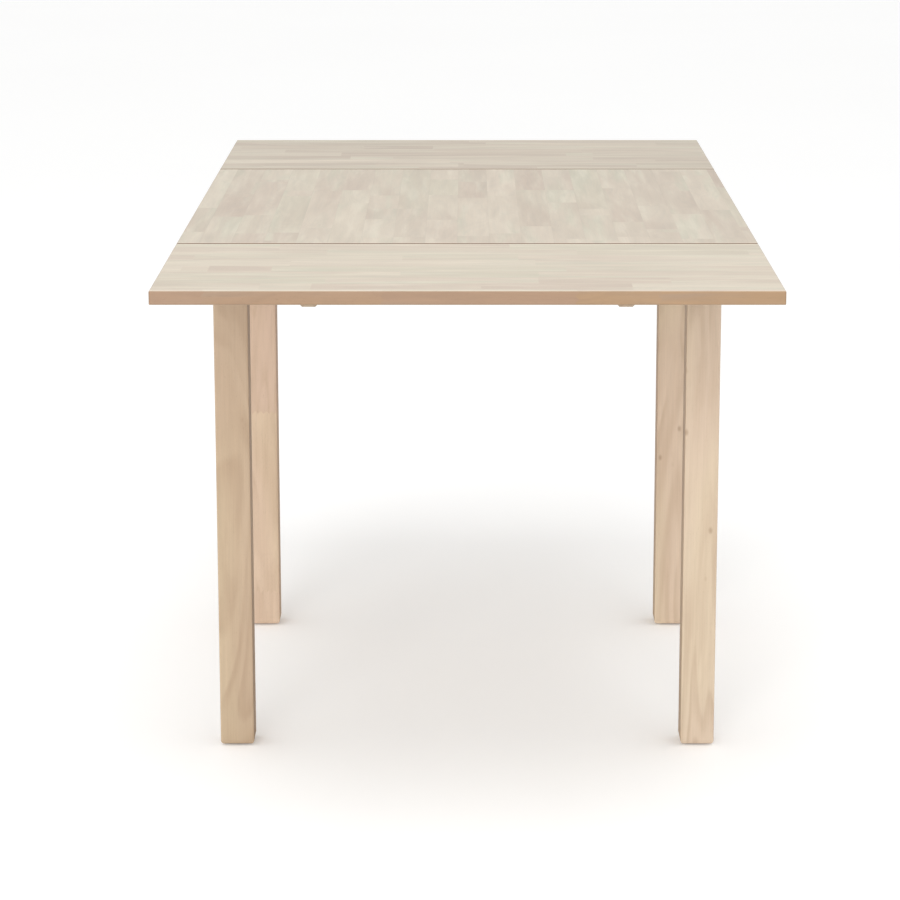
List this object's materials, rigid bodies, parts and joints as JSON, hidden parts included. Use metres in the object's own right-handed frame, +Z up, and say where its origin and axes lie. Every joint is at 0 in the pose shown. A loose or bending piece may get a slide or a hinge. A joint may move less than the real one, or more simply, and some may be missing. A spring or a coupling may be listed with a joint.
{
  "type": "drop-leaf table",
  "caption": "Rectangular drop-leaf table: square-legged centre frame, hinged end leaves that fold down, each held up by a folding prop gate on steel brackets.",
  "frame": {"origin": "on the floor, midway between the legs", "axes": "+X to the right along the leaf hinges, +Y to the back leaf, +Z up"},
  "size_m": [0.8, 1.5, 0.74],
  "materials": {
    "top_wood": "whitewashed edge-glued staves, satin",
    "frame_wood": "pale brushed straight grain, satin",
    "zinc_steel": "zinc plated",
    "nylon": "moulded nylon"
  },
  "bodies": {
    "frame": {"centre_top": "top_wood", "leg_front_left": "frame_wood", "leg_front_right": "frame_wood", "leg_back_left": "frame_wood", "leg_back_right": "frame_wood", "apron_front": "frame_wood", "apron_back": "frame_wood", "apron_left": "frame_wood", "apron_right": "frame_wood", "cross_rail": "frame_wood", "rail_dowels": "frame_wood", "corner_brace_front_left": "zinc_steel", "corner_brace_front_right": "zinc_steel", "corner_brace_back_left": "zinc_steel", "corner_brace_back_right": "zinc_steel", "brace_screws": "zinc_steel", "hanger_bolts": "zinc_steel", "hanger_washers": "zinc_steel", "hanger_nuts": "zinc_steel", "top_clips": "zinc_steel", "top_clip_screws": "zinc_steel", "leg_glides": "nylon", "front_hinge_plate_left": "zinc_steel", "front_hinge_plate_middle": "zinc_steel", "front_hinge_plate_right": "zinc_steel", "back_hinge_plate_left": "zinc_steel", "back_hinge_plate_middle": "zinc_steel", "back_hinge_plate_right": "zinc_steel", "hinge_pins": "zinc_steel", "hinge_plate_screws": "zinc_steel", "gate_bracket_front_left": "zinc_steel", "gate_bracket_front_right": "zinc_steel", "gate_bracket_back_left": "zinc_steel", "gate_bracket_back_right": "zinc_steel", "bracket_screws": "zinc_steel", "pivot_bolts": "zinc_steel", "pivot_washers": "nylon", "pivot_nuts": "zinc_steel"},
    "front_leaf": {"front_leaf": "top_wood", "front_hinge_flap_left": "zinc_steel", "front_hinge_flap_middle": "zinc_steel", "front_hinge_flap_right": "zinc_steel", "front_leaf_screws": "zinc_steel", "front_catch_left": "zinc_steel", "front_catch_right": "zinc_steel"},
    "front_gate": {"front_gate_arm_left": "frame_wood", "front_gate_arm_right": "frame_wood", "front_gate_bar": "frame_wood"},
    "back_leaf": {"back_leaf": "top_wood", "back_hinge_flap_left": "zinc_steel", "back_hinge_flap_middle": "zinc_steel", "back_hinge_flap_right": "zinc_steel", "back_leaf_screws": "zinc_steel", "back_catch_left": "zinc_steel", "back_catch_right": "zinc_steel"},
    "back_gate": {"back_gate_arm_left": "frame_wood", "back_gate_arm_right": "frame_wood", "back_gate_bar": "frame_wood"}
  },
  "joints": [
    {"name": "front_leaf_fold", "type": "hinge", "parent": "frame", "child": "front_leaf", "pos_m": [0, -0.377, 0.7187], "axis": [1, 0, 0], "range_deg": [0, 90]},
    {"name": "front_gate_swing", "type": "hinge", "parent": "frame", "child": "front_gate", "pos_m": [0, -0.343, 0.674], "axis": [1, 0, 0], "range_deg": [0, 95]},
    {"name": "back_leaf_fold", "type": "hinge", "parent": "frame", "child": "back_leaf", "pos_m": [0, 0.377, 0.7187], "axis": [-1, 0, 0], "range_deg": [0, 90]},
    {"name": "back_gate_swing", "type": "hinge", "parent": "frame", "child": "back_gate", "pos_m": [0, 0.343, 0.674], "axis": [-1, 0, 0], "range_deg": [0, 95]}
  ],
  "couplings": [
    {"joint": "front_gate_swing", "follows": "front_leaf_fold", "ratio": 1.05},
    {"joint": "back_gate_swing", "follows": "back_leaf_fold", "ratio": 1.05}
  ]
}
